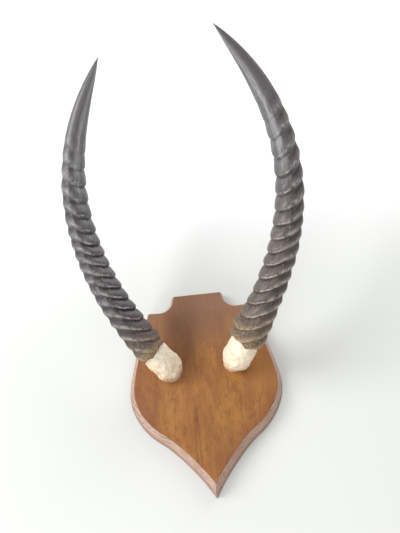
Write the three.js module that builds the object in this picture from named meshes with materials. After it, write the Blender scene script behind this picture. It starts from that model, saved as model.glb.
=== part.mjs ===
// A pair of ringed antelope horns on their bony cores, fixed to a shield-shaped wooden plaque.
//
// Millimetres. The plaque lies on its back: its back is at z = 0, +Z points out of its front,
// +Y to its square top and +X to its right. Each horn is built in a frame of its own, with its
// origin where the core stands on the plaque, and with +X pointing away from the other horn.

import * as THREE from "three";

// ---------------------------------------------------------------- plaque
const PLAQUE_THICKNESS = 21;
const PLAQUE_HALF_WIDTH = 100; // of the front face, at its widest
const WIDEST_Y = 14;
const POINT_Y = -111; // the bottom point of the front face
const TOP_Y = 156.5;
const TAB_HALF_WIDTH = 37; // the square tab between the two notches
const NOTCH_WIDTH = 23;
const NOTCH_DEPTH = 27;
const EAR_X = 77.5; // the corner outside each notch
const EAR_Y = 130.5;
const BELLY_END = [62, -48.5]; // where the round belly turns into the hollow above the point

// The handles of the outline's three curves, from the bottom point to the ear.
const HOLLOW_HANDLES = [14, -91, 43.5, -60.4];
const BELLY_HANDLES = [78.8, -37.7, PLAQUE_HALF_WIDTH, -14];
const FLANK_HANDLES = [PLAQUE_HALF_WIDTH, 38, 86, 86];
const CURVE_STEPS = 8;

// The edge slopes outwards from the front face: a bevel, and a steeper foot below it.
const BEVEL_OUT = 6.8;
const BEVEL_DROP = 12;
const EDGE_OUT = 9.2;
const NOTCH_EDGE = 0.55; // around the notches and the tab the edge stands out less, by this share
const STEEPENS = [85, EAR_Y]; // where the edge changes, going up the plaque

// ---------------------------------------------------------------- horns
const HORN_LENGTH = 486; // along the axis, from the plaque to the tip

// How an axis rises above the plaque on its way to the tip, in degrees: the handles of a
// cubic Bezier. Each horn has handles of its own for its splay, the turn from +Y to +X.
const RISE = [71, -11, 47, 54];
const AXIS_STEPS = 240;

const HORN_DIAMETER = 43.9; // over the rings, at the root
const STRAIGHT_TAPER = 0.263;
const TIP_POWER = 5.7;
const TIP_BLUNTNESS = 0.892;
const OVALNESS = 1.06; // front to back, against side to side
const TIP_RADIUS = 0.6;
const TIP_END = 0.5; // the last loop lies this far short of the tip

// The root flares, most on the side towards the other horn.
const FLARE_ENDS = [55, 125];
const INNER_FLARE = 0.45;

// Rings are numbered from the root. Their spacing grows over a few rings in the middle.
const RING_STRETCH = 1.3;
const WIDENS_OVER = 3;
const RING_COUNT = 17;
const LOWEST_ROW = 0.8; // below this ring number there is only the sheath's edge
const RING_DEPTH = 3.8; // from crest to groove, on the strongest side
const GROOVE_PHASE = 0.7; // the groove lies this far from one crest to the next
const RING_BULGE = 2.2; // how full the ring is above its crest
const RING_LIP = 2; // how full it is below its crest
const RING_PHASES = [0, 0.42, GROOVE_PHASE, 0.85]; // where a ring has its loops
const OUTER_GROOVE_PHASE = 0.55; // on the outer side the rings are waves with broad grooves

// The relief is strongest on one side, at an angle in degrees from the front, and keeps a
// share of its depth on the far side. It grows over the first rings and fades over the last.
const RELIEF_SIDE = -40;
const FAR_SIDE_RELIEF = 0.24;
const ROOT_RELIEF = 0.5;
const RELIEF_GROWS = [-2, 1.5];
const RELIEF_FADES = [13, 17.5];

// The rings are tilted: each is lowest at an angle around the axis, in degrees, and rises
// from there to the far side. That angle turns along the horn. The tilt grows over the first
// rings, given by number, and fades towards the tip.
const RING_RISE = 31;
const RINGS_LOW = [-102, -52];
const RINGS_TURN = [40, 230];
const TILT_GROWS = [0.1, 4];
const TILT_FADES = [250, 470];

const SHEATH_EDGE_INSET = 2; // the edge is thinner than the sheath above it by this much
const SHEATH_LIP = 4.5; // how far the thin edge reaches up
const SHEATH_LIP_SWELL = 1.6;
const SHEATH_EDGE_WAVE = 1.6;
const SHEATH_EDGE_TILT = 4.5; // it reaches lower on the outer side
const SOCKET_MOUTH = 1; // inside the edge
const SOCKET_MOUTH_RADIUS = 18.9;
const SOCKET_END = 88;
const SOCKET_GAP = 0.4;

const CORE_PLUG_RADIUS = 16.2; // inside the sheath
const CORE_GAP = 0.3; // between its foot and the plaque
const CORE_TUCK = 0.2; // how far its foot is drawn in, as a share of its radius
const CORE_TUCK_HEIGHT = 4;
const CORE_UNDERSIDE_RISE = 0.3; // how fast the underside lifts off the plaque
const CORE_END_GAP = 0.8; // to the end of the socket
const CORE_CALMS = [24, 38]; // where its lumps die away
const CORE_NARROWS = [34, 62]; // where it tapers to fit the sheath
const CORE_STATIONS = [0, 3, 7, 13, 20, 28, 36, 43, 51, 60, 70];

// Lumps around the core: their depth, their number, how far they twist and where they start.
const CORE_LUMPS = [
  { depth: 0.035, lobes: 3, twist: 1 / 9, start: 0 },
  { depth: 0.025, lobes: 5, twist: -1 / 6, start: 1 },
];

const HORN_SIDES = 24;
const CORE_SIDES = 20;
const TIP_LOOPS = 14;

// Each horn stands at a foot of its own and leans a little from the mirrored pose, in degrees
// about its own X, Y and Z. Its rings are spaced evenly up to the ring number widensFrom, and
// its root is wider by the share flare.
const HORNS = [
  {
    name: "right", mirror: 1, foot: [46.4, 40.5], lean: [4.8, -4.7, -0.8],
    splay: [52.6, 27.8, 13.8, -86.6], sheathStart: 52, coreRadius: 20,
    flare: 0.2, firstRing: 51.4, ringPitch: 18, widensFrom: 8.7,
  },
  {
    name: "left", mirror: -1, foot: [46.2, 36.3], lean: [-3.5, 4.5, 1.0],
    splay: [59.3, 8.1, 36.2, -97.4], sheathStart: 47, coreRadius: 19.2,
    flare: 0.04, firstRing: 43.8, ringPitch: 17.4, widensFrom: 9.7,
  },
];

// ---------------------------------------------------------------- finishes
const WOOD = new THREE.MeshStandardMaterial({ color: 0xa3713f, roughness: 0.55, metalness: 0 });
const KERATIN = new THREE.MeshStandardMaterial({ color: 0x3a3634, roughness: 0.45, metalness: 0 });
const BONE = new THREE.MeshStandardMaterial({ color: 0xe8d9bd, roughness: 0.8, metalness: 0 });

const radians = THREE.MathUtils.degToRad;

// ---------------------------------------------------------------- meshes from loops

// A closed body through loops of equal length, with a flat or pointed cap at each end.
function closedLoft(loops, mirror = 1) {
  const sides = loops[0].length;
  const points = loops.flat().map((p) => new THREE.Vector3(p.x * mirror, p.y, p.z));
  const faces = [];
  for (let row = 0; row + 1 < loops.length; row++) {
    for (let i = 0; i < sides; i++) {
      const a = row * sides + i;
      const b = row * sides + ((i + 1) % sides);
      faces.push([a, b, b + sides], [a, b + sides, a + sides]);
    }
  }
  const cap = (row, reversed) => {
    const centre = new THREE.Vector3();
    for (let i = 0; i < sides; i++) centre.addScaledVector(points[row * sides + i], 1 / sides);
    points.push(centre);
    for (let i = 0; i < sides; i++) {
      const a = row * sides + i;
      const b = row * sides + ((i + 1) % sides);
      faces.push(reversed ? [b, a, points.length - 1] : [a, b, points.length - 1]);
    }
  };
  cap(0, true);
  cap(loops.length - 1, false);
  return indexedGeometry(points, mirror < 0 ? faces.map((f) => [f[0], f[2], f[1]]) : faces);
}

function indexedGeometry(points, faces) {
  const geometry = new THREE.BufferGeometry();
  geometry.setFromPoints(points);
  geometry.setIndex(faces.flat());
  geometry.computeVertexNormals();
  return geometry;
}

// ---------------------------------------------------------------- plaque

// The front face's outline, anticlockwise from the bottom point.
function plaqueOutline() {
  const half = new THREE.Path();
  half.moveTo(0, POINT_Y);
  half.bezierCurveTo(...HOLLOW_HANDLES, ...BELLY_END);
  half.bezierCurveTo(...BELLY_HANDLES, PLAQUE_HALF_WIDTH, WIDEST_Y);
  half.bezierCurveTo(...FLANK_HANDLES, EAR_X, EAR_Y);
  const notchX = TAB_HALF_WIDTH + NOTCH_WIDTH;
  half.lineTo(notchX, TOP_Y - NOTCH_DEPTH);
  half.absellipse(notchX, TOP_Y, NOTCH_WIDTH, NOTCH_DEPTH, -Math.PI / 2, -Math.PI, true);
  const right = half.getPoints(CURVE_STEPS);
  const left = right.slice(1).reverse().map((p) => new THREE.Vector2(-p.x, p.y));
  return right.concat(left);
}

// The outline moved outwards by a distance, with its corners kept sharp.
function offsetOutline(outline, distance) {
  const count = outline.length;
  const edgeNormal = (i) => {
    const along = outline[(i + 1) % count].clone().sub(outline[i % count]).normalize();
    return new THREE.Vector2(along.y, -along.x);
  };
  return outline.map((point, i) => {
    const before = edgeNormal(i + count - 1);
    const after = edgeNormal(i);
    const steep = THREE.MathUtils.smoothstep(point.y, ...STEEPENS);
    const reach = distance * THREE.MathUtils.lerp(1, NOTCH_EDGE, steep);
    const scale = reach / (1 + before.dot(after));
    return point.clone().add(before.add(after).multiplyScalar(scale));
  });
}

function makePlaque() {
  const outline = plaqueOutline();
  const count = outline.length;
  const levels = [
    { out: EDGE_OUT, z: 0 },
    { out: BEVEL_OUT, z: PLAQUE_THICKNESS - BEVEL_DROP },
    { out: 0, z: PLAQUE_THICKNESS },
  ];
  const points = levels.flatMap(({ out, z }) =>
    offsetOutline(outline, out).map((p) => new THREE.Vector3(p.x, p.y, z)));
  const faces = [];
  for (let row = 0; row + 1 < levels.length; row++) {
    for (let i = 0; i < count; i++) {
      const a = row * count + i;
      const b = row * count + ((i + 1) % count);
      faces.push([a, b, b + count], [a, b + count, a + count]);
    }
  }
  const front = (levels.length - 1) * count;
  for (const [a, b, c] of THREE.ShapeUtils.triangulateShape(outline, [])) {
    faces.push([front + a, front + b, front + c], [a, c, b]);
  }
  const mesh = new THREE.Mesh(indexedGeometry(points, faces), WOOD.clone());
  mesh.name = "plaque";
  return mesh;
}

// ---------------------------------------------------------------- the horn's axis

function bezier([a, b, c, d], t) {
  const s = 1 - t;
  return s ** 3 * a + 3 * s * s * t * b + 3 * s * t * t * c + t ** 3 * d;
}

function axisDirection(t, horn) {
  const rise = radians(bezier(RISE, t));
  const splay = radians(bezier(horn.splay, t));
  const level = Math.cos(rise);
  const direction = new THREE.Vector3(
    level * Math.sin(splay), level * Math.cos(splay), Math.sin(rise));
  return direction.applyEuler(new THREE.Euler(...horn.lean.map(radians)));
}

// Returns station(s): the axis point, its direction, and the outer and front directions.
function makeAxis(horn) {
  const stepLength = HORN_LENGTH / AXIS_STEPS;
  const places = [new THREE.Vector3()];
  for (let i = 0; i < AXIS_STEPS; i++) {
    const step = axisDirection((i + 0.5) / AXIS_STEPS, horn).multiplyScalar(stepLength);
    places.push(places[i].clone().add(step));
  }
  return (s) => {
    const i = THREE.MathUtils.clamp(Math.floor(s / stepLength), 0, AXIS_STEPS - 1);
    const place = places[i].clone().lerp(places[i + 1], s / stepLength - i);
    const along = axisDirection(s / HORN_LENGTH, horn);
    const outer = new THREE.Vector3(1, 0, 0);
    outer.addScaledVector(along, -outer.dot(along)).normalize();
    return { place, along, outer, front: outer.clone().cross(along) };
  };
}

// A point at an angle around the axis: 0 is the front, a quarter turn is the outer side.
function pointAround(station, angle, radius) {
  return station.place.clone()
    .addScaledVector(station.front, Math.cos(angle) * radius * OVALNESS)
    .addScaledVector(station.outer, Math.sin(angle) * radius);
}

// ---------------------------------------------------------------- the sheath

function sheathRadius(s, angle, horn) {
  const t = Math.min(s / HORN_LENGTH, 1);
  const taper = (1 - STRAIGHT_TAPER * t) * (1 - t ** TIP_POWER) ** TIP_BLUNTNESS;
  const flare = horn.flare * (1 - THREE.MathUtils.smoothstep(s, ...FLARE_ENDS));
  return (HORN_DIAMETER / 2) * taper * (1 + flare * (1 - INNER_FLARE * Math.sin(angle)));
}

function ringPlace(ring, horn) {
  const widened = Math.max(0, ring - horn.widensFrom);
  const steps = widened ** 2 - Math.max(0, widened - WIDENS_OVER) ** 2;
  return horn.firstRing + horn.ringPitch * ring + RING_STRETCH * steps;
}

// How high the surface stands between a groove, 0, and a crest, 1. The rings are round
// towards the other horn, and waves on the outer side.
function ringShape(phase, angle) {
  const bulge = phase < GROOVE_PHASE
    ? 1 - (phase / GROOVE_PHASE) ** RING_BULGE
    : 1 - ((1 - phase) / (1 - GROOVE_PHASE)) ** RING_LIP;
  const turn = phase < OUTER_GROOVE_PHASE
    ? phase / OUTER_GROOVE_PHASE
    : (1 - phase) / (1 - OUTER_GROOVE_PHASE);
  const wave = 0.5 + 0.5 * Math.cos(Math.PI * turn);
  const outer = THREE.MathUtils.smoothstep(Math.sin(angle), 0, 0.8);
  return THREE.MathUtils.lerp(bulge, wave, outer);
}

// 1 where an angle around the axis points to a side, given in degrees, and 0 opposite it.
const towardsSide = (angle, side) => 0.5 + 0.5 * Math.cos(angle - radians(side));

function ringStrength(ring, angle) {
  const around = THREE.MathUtils.lerp(FAR_SIDE_RELIEF, 1, towardsSide(angle, RELIEF_SIDE));
  const grown = THREE.MathUtils.smoothstep(ring, ...RELIEF_GROWS);
  const fade = 1 - THREE.MathUtils.smoothstep(ring, ...RELIEF_FADES);
  return RING_DEPTH * around * THREE.MathUtils.lerp(ROOT_RELIEF, 1, grown) * fade;
}

function ringTilt(ring, s, angle) {
  const grown = THREE.MathUtils.smoothstep(ring, ...TILT_GROWS);
  const fade = 1 - THREE.MathUtils.smoothstep(s, ...TILT_FADES);
  const low = THREE.MathUtils.lerp(...RINGS_LOW, THREE.MathUtils.smoothstep(s, ...RINGS_TURN));
  return RING_RISE * grown * fade * (1 - towardsSide(angle, low));
}

function sheathLoop(station, ring, s, horn) {
  const loop = [];
  for (let i = 0; i < HORN_SIDES; i++) {
    const angle = (i / HORN_SIDES) * 2 * Math.PI;
    const place = s + ringTilt(ring, s, angle);
    const cut = ringStrength(ring, angle) * (1 - ringShape(ring - Math.floor(ring), angle));
    const radius = Math.max(sheathRadius(place, angle, horn) - cut, TIP_RADIUS);
    loop.push(pointAround(station(place), angle, radius));
  }
  return loop;
}

// A loop near the root. The edge of the sheath is tilted and uneven, by a share from 0 to 1.
function edgeLoop(station, s, radiusAt, share) {
  const loop = [];
  for (let i = 0; i < HORN_SIDES; i++) {
    const angle = (i / HORN_SIDES) * 2 * Math.PI;
    const wave = SHEATH_EDGE_WAVE * (Math.sin(2 * angle + 0.7) + 0.6 * Math.sin(5 * angle));
    const shift = wave - SHEATH_EDGE_TILT * Math.sin(angle);
    loop.push(pointAround(station(s + share * shift), angle, radiusAt(angle)));
  }
  return loop;
}

function makeSheath(station, horn) {
  const start = horn.sheathStart;
  const bore = () => CORE_PLUG_RADIUS + SOCKET_GAP;
  const mouth = () => SOCKET_MOUTH_RADIUS;
  const edge = (angle) => sheathRadius(start, angle, horn) - SHEATH_EDGE_INSET;
  const lip = (angle) => edge(angle) + SHEATH_LIP_SWELL;
  const loops = [
    edgeLoop(station, SOCKET_END, bore, 0),
    edgeLoop(station, (start + SOCKET_END) / 2, bore, 0),
    edgeLoop(station, start + SOCKET_MOUTH, mouth, 1),
    edgeLoop(station, start, edge, 1),
    edgeLoop(station, start + SHEATH_LIP, lip, 0.6),
  ];
  for (let ring = 0; ring < RING_COUNT; ring++) {
    for (const phase of RING_PHASES) {
      const row = ring + phase;
      if (row > LOWEST_ROW) loops.push(sheathLoop(station, row, ringPlace(row, horn), horn));
    }
  }
  const lastRing = ringPlace(RING_COUNT, horn);
  for (let i = 0; i < TIP_LOOPS; i++) {
    const share = Math.sqrt(i / (TIP_LOOPS - 1)); // closer together towards the tip
    const s = THREE.MathUtils.lerp(lastRing, HORN_LENGTH - TIP_END, share);
    loops.push(sheathLoop(station, RING_COUNT, s, horn));
  }
  return closedLoft(loops, horn.mirror);
}

// ---------------------------------------------------------------- the bony core

// Lumps that fade out where the core goes into the sheath.
function coreRadius(s, angle, bareRadius) {
  const foot = 1 - CORE_TUCK * Math.exp(-s / CORE_TUCK_HEIGHT);
  let lumps = 0;
  for (const { depth, lobes, twist, start } of CORE_LUMPS) {
    lumps += depth * Math.sin(lobes * angle + twist * s + start);
  }
  lumps *= 1 - THREE.MathUtils.smoothstep(s, ...CORE_CALMS);
  const inSheath = THREE.MathUtils.smoothstep(s, ...CORE_NARROWS);
  return THREE.MathUtils.lerp(bareRadius * foot * (1 + lumps), CORE_PLUG_RADIUS, inSheath);
}

// The first loop is level, a gap above the plaque, and no later one dips back to it.
function makeCore(station, horn) {
  const stations = [...CORE_STATIONS, SOCKET_END - CORE_END_GAP];
  const loops = stations.map((s, row) => {
    const at = station(s);
    const floor = CORE_GAP + CORE_UNDERSIDE_RISE * s;
    const loop = [];
    for (let i = 0; i < CORE_SIDES; i++) {
      const angle = (i / CORE_SIDES) * 2 * Math.PI;
      const point = pointAround(at, angle, coreRadius(s, angle, horn.coreRadius));
      const lift = (floor - point.z) / at.along.z;
      if (row === 0 || lift > 0) point.addScaledVector(at.along, lift);
      loop.push(point);
    }
    return loop;
  });
  return closedLoft(loops, horn.mirror);
}

// ---------------------------------------------------------------- assembly

const trophy = new THREE.Group();
trophy.add(makePlaque());

for (const horn of HORNS) {
  const group = new THREE.Group();
  group.position.set(horn.mirror * horn.foot[0], horn.foot[1], PLAQUE_THICKNESS);
  const station = makeAxis(horn);
  const core = new THREE.Mesh(makeCore(station, horn), BONE.clone());
  core.name = `${horn.name}_core`;
  const sheath = new THREE.Mesh(makeSheath(station, horn), KERATIN.clone());
  sheath.name = `${horn.name}_horn`;
  group.add(core, sheath);
  trophy.add(group);
}

export default trophy;
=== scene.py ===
"""A pair of ringed antelope horns on their bony cores, mounted on a shield-shaped plaque.

The solid model is the frame. Each of its five solids is replaced here by a finely modelled
piece of the same shape and place. The plaque lies on its back: +Z points out of its front,
+Y to its square top, and its back is at z = 0. Lengths are in metres.
"""

import math

import bmesh
import bpy
from mathutils import Euler, Matrix, Vector, noise
from bpy.props import FloatProperty, FloatVectorProperty, IntProperty, PointerProperty


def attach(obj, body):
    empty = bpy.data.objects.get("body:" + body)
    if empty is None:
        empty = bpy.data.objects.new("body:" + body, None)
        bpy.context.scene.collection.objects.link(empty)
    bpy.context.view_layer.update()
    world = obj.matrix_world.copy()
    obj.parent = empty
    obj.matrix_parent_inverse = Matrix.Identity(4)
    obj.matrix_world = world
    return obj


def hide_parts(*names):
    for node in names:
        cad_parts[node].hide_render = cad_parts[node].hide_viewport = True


bl_info = {
    "name": "Mounted Antelope Horns",
    "version": (1, 0, 0),
    "blender": (4, 5, 0),
    "location": "View3D > Sidebar > Mounted Horns",
    "description": "Models a pair of ringed horns on a shield-shaped plaque",
    "category": "Add Mesh",
}

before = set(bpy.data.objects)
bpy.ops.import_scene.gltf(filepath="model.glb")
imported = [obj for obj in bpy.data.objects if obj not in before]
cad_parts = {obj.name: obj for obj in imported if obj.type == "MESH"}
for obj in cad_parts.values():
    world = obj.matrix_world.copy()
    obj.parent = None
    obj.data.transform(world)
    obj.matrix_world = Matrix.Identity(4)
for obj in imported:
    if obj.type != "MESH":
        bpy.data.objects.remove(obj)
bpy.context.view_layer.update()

MM = 0.001
TURN = 2 * math.pi

# The right half of the plaque's outline, in millimetres: where its belly ends above the point,
# and the handles of its three curves. Those beside the widest place lie straight below and
# above it, so only their heights are given.
BELLY_END = (62, -48.5)
POINT_HANDLES = ((14, -91), (43.5, -60.4))
BELLY_HANDLE = (78.8, -37.7)
BELOW_WIDEST = -14
ABOVE_WIDEST = 38
EAR_HANDLE = (86, 86)
OUTLINE_STEPS = 24

# The plaque's edge is cut steeper around the notches and the tab, where it stands out by a
# share only. That sets in over a height below the ears.
NOTCH_EDGE = 0.55
NOTCH_EDGE_OVER = 45 * MM
CORNER_ANGLE = math.radians(25)
SHARP_ANGLE = math.radians(24)

# How a horn's axis rises above the plaque on its way to the tip, in degrees: the handles of
# a cubic Bezier.
RISE = (71, -11, 47, 54)
AXIS_STEPS = 480

# The two horns, in millimetres and degrees.
# mirror: 1 for the right side, -1 for the left. foot: where the axis leaves the plaque.
# lean: its turn away from the mirrored pose, about its own X, Y and Z.
# splay: the Bezier handles of its turn from +Y outwards.
# sheath_start, flare: where the sheath begins, and the share by which it is wider there.
# first_ring, ring_pitch: where the rings begin, and how far apart they are.
# widens_from, rings_fade: the ring from which the pitch grows, and those where the relief ends.
# core_radius, foot_tuck: of the bare core, and the share by which it is thinner at its foot.
# cuts: flats sawn off its foot, each with the way it faces and its distance from the foot.
# roughness, worn, browned, stained: how strong these finishes are. Worn also sets how
# strong the painted highlight on the outer crests is.
# root_tint: what the colours are multiplied by at the root.
# sheath_seed, core_seed: for the noise in their shapes.
HORNS = {
    "right": {
        "mirror": 1, "foot": (46.4, 40.5), "lean": (4.8, -4.7, -0.8),
        "splay": (52.6, 27.8, 13.8, -86.6), "sheath_start": 52, "flare": 0.2,
        "first_ring": 51.4, "ring_pitch": 18.0, "widens_from": 8.7, "rings_fade": (12.5, 16.6),
        "core_radius": 20.0, "foot_tuck": 0.1,
        "cuts": (((0, -1, -0.25), 14.4), ((0.77, -0.64, -0.35), 16.2)),
        "roughness": 1.0, "worn": 1.1, "browned": 0.55, "stained": 0.35,
        "root_tint": (1.0, 0.71, 0.54), "sheath_seed": 20.5, "core_seed": 4.7,
    },
    "left": {
        "mirror": -1, "foot": (46.2, 36.3), "lean": (-3.5, 4.5, 1.0),
        "splay": (59.3, 8.1, 36.2, -97.4), "sheath_start": 47, "flare": 0.04,
        "first_ring": 43.8, "ring_pitch": 17.4, "widens_from": 9.7, "rings_fade": (13.3, 17.2),
        "core_radius": 19.2, "foot_tuck": 0.2, "cuts": (),
        "roughness": 0.5, "worn": 0.7, "browned": 0.0, "stained": 1.0,
        "root_tint": (0.76, 0.61, 0.67), "sheath_seed": 41.0, "core_seed": 9.4,
    },
}

# The rings are deepest at an angle around the horn, in degrees, where 0 is the front and 90
# the outer side. A share of the depth is left opposite and at the root, from which it grows
# over a range of ring numbers. It is uneven by a share, with some lobes around the horn and a
# change from ring to ring.
RELIEF_SIDE = -40
FAR_SIDE_RELIEF = 0.24
ROOT_RELIEF = 0.5
RELIEF_GROWS = (-2, 1.5)
UNEVEN_SHARE = 0.45
UNEVEN_LOBES = 0.9
UNEVEN_CHANGE = 0.9

# A ring's profile from its crest, phase 0, to the next one's, phase 1: where its groove lies,
# and how round the ring is above its crest and the next one's lip below. On the outer side
# the profile is a wave, which takes over between two sines of the angle.
GROOVE_PHASE = 0.7
RING_BULGE = 2.2
RING_LIP = 2.0
OUTER_GROOVE_PHASE = 0.55
OUTER_TAKES_OVER = (0, 0.8)

# The rings are tilted: each is lowest at an angle around the horn, in degrees, which turns
# along it, and the tilt fades towards the tip. The rows of the mesh follow it fully from a
# ring number on.
RINGS_LOW = (-102, -52)
RINGS_TURN = (40 * MM, 230 * MM)
TILT_FADES = (250 * MM, 470 * MM)
ROWS_FOLLOW = 4

# The pitch grows over a few rings. The flare ends over a length, and is stronger on the inner
# side by a share and as much weaker on the outer side.
WIDENS_OVER = 3
FLARE_ENDS = (55 * MM, 125 * MM)
INNER_FLARE = 0.45

# Noise on the sheath. Lips waver along the axis: millimetres, lobes, change per ring, seed.
# Lumps stand out from it: millimetres, lobes, step along the axis, seed.
LIP_WAVERS = ((1.8, 1.3, 0.55, 9), (0.9, 3.4, 1.6, 11))
WAVERS_FADE = (330 * MM, 430 * MM)
LUMPS = ((0.38, 2.6, 11 * MM, 5), (0.2, 7.0, 5 * MM, 7))
LUMPS_CALM = (300 * MM, 400 * MM)
LUMPS_LOST = 0.75
LUMPS_FULL_RADIUS = 8 * MM

# The sheath's edge. Waves: depth, number around it, start. Chips: depth, lobes, seed. Its
# shape reaches up over some rings, and its wall thins over a part of one. The bore begins a
# little above it.
EDGE_WAVES = ((1, 2, 0.7), (0.6, 5, 0))
EDGE_CHIPS = ((1.1, 3.0, 3), (0.66, 8.0, 0))
EDGE_REACH = 1.4
EDGE_THINS = 0.3
EDGE_ROUNDNESS = 0.6
MOUTH_DEPTH = 1 * MM

# The tip: how far short of the horn's length its last row, the rows' limit and its point lie.
TIP_LAST_ROW = 0.5 * MM
TIP_LIMIT = 0.4 * MM
TIP_POINT = 0.2 * MM
LEAST_RADIUS = 0.6 * MM

# The bare core. Waves: depth, number around it, climb, start. Lumps: depth, lobes, step along
# it, seed. They calm down, and the core narrows, on its way into the sheath.
CORE_WAVES = ((0.035, 3, 9 * MM, 0), (0.025, 5, -6 * MM, 1))
CORE_LUMPS = ((0.06, 1.5, 11 * MM, 0), (0.035, 4.0, 5 * MM, 4))
CORE_CALMS = (24 * MM, 38 * MM)
CORE_NARROWS = (34 * MM, 62 * MM)
CORE_TUCK_HEIGHT = 4 * MM
CORE_ROW = 1.1 * MM
CORE_ROWS = 52
PLUG_ROWS = 6
CORE_END_GAP = 0.8 * MM
CORE_UNDERSIDE_RISE = 0.3

# Each light: where it stands, where it points, how wide it is and its power setting's name.
LIGHTS = {
    "window_light": ((-2, 0.55, 1.75), (0, 0.12, 0.1), 1.5, "key_power"),
    "back_light": ((0.9, 1.9, 1.1), (0.12, 0.35, 0), 1.6, "back_power"),
    "front_light": ((-0.7, -1.25, 0.5), (0, 0.1, 0.1), 0.5, "front_power"),
}
TABLE_HALF_SIZE = 4
TABLE_GAP = 0.5 * MM
SENSOR_HEIGHT = 24


# -------------------- sizes and colours

def length(name, description, millimetres):
    return FloatProperty(name=name, description=description, default=millimetres * MM,
                         unit="LENGTH", precision=4)


def place(name, description, *millimetres):
    return FloatVectorProperty(name=name, description=description, subtype="XYZ",
                               unit="LENGTH", default=[mm * MM for mm in millimetres])


def ratio(name, description, default):
    return FloatProperty(name=name, description=description, default=default, precision=3)


def watts(name, description, default):
    return FloatProperty(name=name, description=description, default=default, unit="POWER")


def colour(name, description, default):
    return FloatVectorProperty(name=name, description=description, default=default,
                               subtype="COLOR", size=3, min=0, max=1)


class ShieldSizes(bpy.types.PropertyGroup):
    """The plaque's front outline and its edge."""

    thickness: length("Thickness", "From its back to its front face", 21)
    half_width: length("Half width", "Of the front face at its widest", 100)
    widest: length("Widest place", "Height of the widest place above the origin", 14)
    point: length("Point", "Height of the bottom point", -111)
    top: length("Top", "Height of the square top", 156.5)
    tab_half: length("Tab half width", "Of the square tab between the notches", 37)
    notch_width: length("Notch width", "How wide each notch is cut", 23)
    notch_depth: length("Notch depth", "How deep each notch is cut", 27)
    ear_x: length("Ear side", "The corner outside each notch, from the middle", 77.5)
    ear_y: length("Ear height", "The corner outside each notch, above the origin", 130.5)
    bevel_out: length("Bevel width", "How far the sloping edge stands out", 6.8)
    bevel_drop: length("Bevel height", "How far the sloping edge drops", 12)
    edge_out: length("Foot width", "How far the back stands out", 9.2)
    arris: length("Arris", "How much the sharp corners are worn round", 0.7)


class HornSizes(bpy.types.PropertyGroup):
    """The horns, their rings and their cores."""

    length: length("Length", "Along the axis, from the plaque to the tip", 486)
    diameter: length("Diameter", "Over the rings at the root", 43.9)
    straight_taper: ratio("Taper", "Share of its width lost evenly", 0.263)
    tip_power: ratio("Tip power", "How late it narrows", 5.7)
    tip_bluntness: ratio("Tip bluntness", "How round the tip is", 0.892)
    ovalness: ratio("Ovalness", "Front to back over width", 1.06)
    ring_count: IntProperty(name="Rings", description="Number of rings", default=17)
    ring_stretch: length("Ring stretch", "How fast the pitch grows for a few rings", 1.3)
    ring_rise: length("Ring rise", "From a ring's lowest side to its highest", 31)
    ring_depth: length("Ring depth", "From crest to groove where it is deepest", 3.8)
    edge_inset: length("Edge inset", "How much thinner the sheath's edge is", 2.0)
    edge_wave: length("Edge wave", "How uneven the sheath's edge is", 1.6)
    edge_tilt: length("Edge tilt", "How much lower the sheath reaches outside", 4.5)
    socket_end: length("Socket end", "How far up the core reaches", 88)
    socket_gap: length("Socket gap", "Between core and sheath", 0.4)
    mouth_radius: length("Mouth radius", "Of the socket at its mouth", 18.9)
    plug_radius: length("Plug radius", "Of the core inside the sheath", 16.2)
    core_gap: length("Core gap", "Between core and plaque", 0.3)


class Finishes(bpy.types.PropertyGroup):
    """The colours that the materials are mixed from."""

    wood_face: colour("Stained wood", "The front of the plaque", (0.335, 0.133, 0.036))
    # Lighter golden patches, and also the painted light beside the right core.
    wood_gold_and_light: colour("Golden wood", "Lighter patches of the front", (0.41, 0.18, 0.042))
    wood_red: colour("Reddish wood", "Darker patches of the front", (0.235, 0.083, 0.032))
    # Pores and dark streaks, and also the painted shadow of the left horn on the front.
    wood_pore_and_shadow: colour("Pores", "Pores and dark streaks", (0.1, 0.04, 0.018))
    # Painted glare, which pales and greys the top of the front.
    wood_top_glare: colour("Glare on wood", "The faded top of the front", (0.28, 0.16, 0.108))
    wood_edge: colour("Edge wood", "The sloping edge", (0.53, 0.37, 0.29))
    wood_growth: colour("Growth lines", "Lines on the sloping edge", (0.2, 0.11, 0.085))
    bone: colour("Bone", "The bare cores", (0.92, 0.82, 0.66))
    bone_stain: colour("Bone stain", "Stain at foot and pits", (0.62, 0.37, 0.12))
    bone_rust: colour("Rust spots", "Brown spots near the foot", (0.3, 0.11, 0.045))
    bone_pit: colour("Bone pits", "Small pits", (0.36, 0.34, 0.32))
    # Dark horn for cracks and ticks, and also the painted shade in the grooves.
    horn_dark_and_groove_shade: colour("Dark horn", "Grooves", (0.018, 0.015, 0.015))
    horn_body: colour("Horn", "The body of the rings and the tip", (0.062, 0.060, 0.068))
    horn_worn: colour("Worn horn", "The dull upper part of each ring", (0.168, 0.167, 0.182))
    horn_crest: colour("Crests", "The rubbed edge of each ring", (0.47, 0.395, 0.315))
    # The pale colour of the painted highlights on the tips, the lips in front and the outer
    # crests.
    horn_highlight: colour("Horn highlight", "Streaks at the tip, rubbed lips", (0.55, 0.53, 0.53))
    horn_brown: colour("Brown horn", "The rough outer side", (0.15, 0.112, 0.096))
    horn_root: colour("Horn root", "The ragged, flaking root", (0.4, 0.27, 0.14))


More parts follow.
